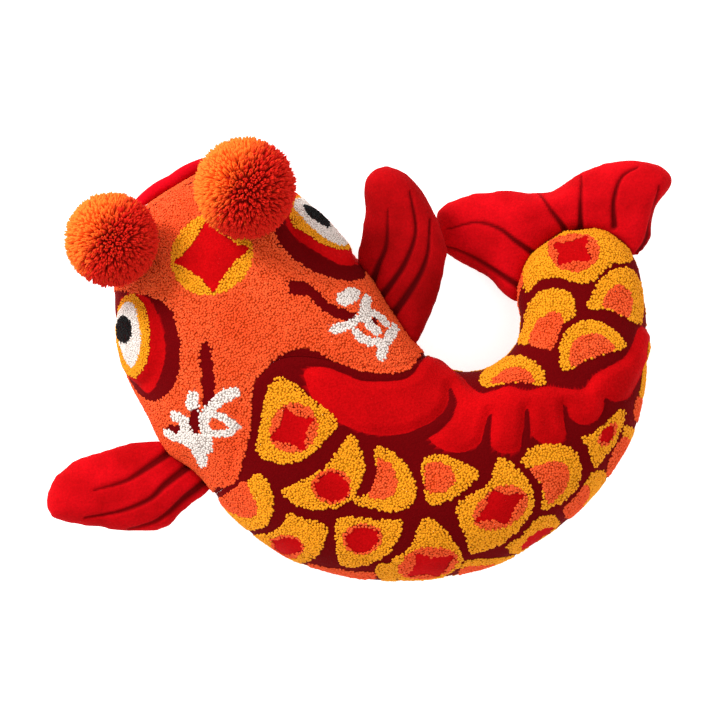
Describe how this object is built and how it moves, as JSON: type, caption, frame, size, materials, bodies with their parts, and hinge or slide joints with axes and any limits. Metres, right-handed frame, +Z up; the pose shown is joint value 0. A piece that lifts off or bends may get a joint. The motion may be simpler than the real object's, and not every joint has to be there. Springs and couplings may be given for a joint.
{
  "type": "carp cushion",
  "caption": "Stuffed, tufted carp cushion curled in an open ring, with sewn chest fins and a tail fin, yarn pom-poms on the nose and a concealed zip in the belly.",
  "frame": {"origin": "under the middle of the whole cushion, on the plane that its belly lies on", "axes": "+X towards the tail's tip, across the head and the ring; +Y towards the pom-poms and the tail; +Z up, away from the belly"},
  "size_m": [0.5645, 0.3952, 0.1889],
  "materials": {
    "orange_loop_pile": "matte",
    "maroon_cut_pile": "matte",
    "red_velvet": "matte",
    "polyester_fibre": "matte",
    "orange_acrylic_yarn": "matte",
    "polyester_thread": "matte",
    "white_loop_pile": "matte",
    "maroon_nylon": "satin",
    "painted_zinc": "satin"
  },
  "bodies": {
    "root": {"body_belly_panel": "maroon_cut_pile", "body_cover": "maroon_cut_pile", "body_filling": "polyester_fibre", "head_belly_panel": "maroon_cut_pile", "head_cover": "orange_loop_pile", "head_filling": "polyester_fibre", "left_eye_pad": "white_loop_pile", "mouth_panel": "orange_loop_pile", "right_eye_pad": "white_loop_pile", "upper_lip": "red_velvet", "zip_bottom_stop": "painted_zinc", "zip_coil": "maroon_nylon", "zip_tape_left": "maroon_nylon", "zip_tape_right": "maroon_nylon", "zip_top_stop": "painted_zinc"},
    "left_fin": {"left_fin_bottom_panel": "red_velvet", "left_fin_filling": "polyester_fibre", "left_fin_top_panel": "red_velvet"},
    "right_fin": {"right_fin_bottom_panel": "red_velvet", "right_fin_filling": "polyester_fibre", "right_fin_top_panel": "red_velvet"},
    "tail_fin": {"tail_fin_bottom_panel": "red_velvet", "tail_fin_filling": "polyester_fibre", "tail_fin_top_panel": "red_velvet"},
    "left_pompom_knot": {"left_pompom_knot": "polyester_thread"},
    "left_pompom": {"left_pompom": "orange_acrylic_yarn"},
    "right_pompom_knot": {"right_pompom_knot": "polyester_thread"},
    "right_pompom": {"right_pompom": "orange_acrylic_yarn"},
    "zip_slider": {"zip_slider": "painted_zinc"},
    "zip_pull": {"zip_pull": "painted_zinc"}
  },
  "joints": [
    {"name": "left_fin_flap", "type": "hinge", "parent": "root", "child": "left_fin", "pos_m": [-0.15913, -0.09553, 0.05336], "axis": [-0.7184, 0.6956, 0], "range_deg": [-15, 24], "stiffness_Nm_per_rad": 0.3},
    {"name": "right_fin_flap", "type": "hinge", "parent": "root", "child": "right_fin", "pos_m": [0.02269, 0.05317, 0.06757], "axis": [0.5633, -0.8262, 0], "range_deg": [-10, 30], "stiffness_Nm_per_rad": 0.3},
    {"name": "tail_flap", "type": "hinge", "parent": "root", "child": "tail_fin", "pos_m": [0.19899, 0.09587, 0.02605], "axis": [0.9991, 0.0431, 0], "range_deg": [-9, 14], "stiffness_Nm_per_rad": 0.6},
    {"name": "left_pompom_nod", "type": "hinge", "parent": "root", "child": "left_pompom_knot", "pos_m": [-0.19521, 0.09127, 0.08982], "axis": [-0.6865, -0.6814, -0.254], "range_deg": [-15, 15], "stiffness_Nm_per_rad": 0.25},
    {"name": "left_pompom_sway", "type": "hinge", "parent": "left_pompom_knot", "child": "left_pompom", "pos_m": [-0.19521, 0.09127, 0.08982], "axis": [0.3824, -0.6353, 0.6709], "range_deg": [-15, 15], "stiffness_Nm_per_rad": 0.25},
    {"name": "right_pompom_nod", "type": "hinge", "parent": "root", "child": "right_pompom_knot", "pos_m": [-0.10145, 0.12654, 0.10478], "axis": [-0.895, -0.3858, 0.2238], "range_deg": [-15, 15], "stiffness_Nm_per_rad": 0.3},
    {"name": "right_pompom_sway", "type": "hinge", "parent": "right_pompom_knot", "child": "right_pompom", "pos_m": [-0.10145, 0.12654, 0.10478], "axis": [0.4451, -0.7398, 0.5045], "range_deg": [-15, 15], "stiffness_Nm_per_rad": 0.3},
    {"name": "zip_slide", "type": "slide", "parent": "root", "child": "zip_slider", "axis": [0.506, -0.8625, 0], "range_m": [0, 0.095]},
    {"name": "zip_pull_turn", "type": "hinge", "parent": "zip_slider", "child": "zip_pull", "pos_m": [-0.1262, 0.07481, 0.00165], "axis": [0.8625, 0.506, 0], "range_deg": [0, 120]}
  ]
}
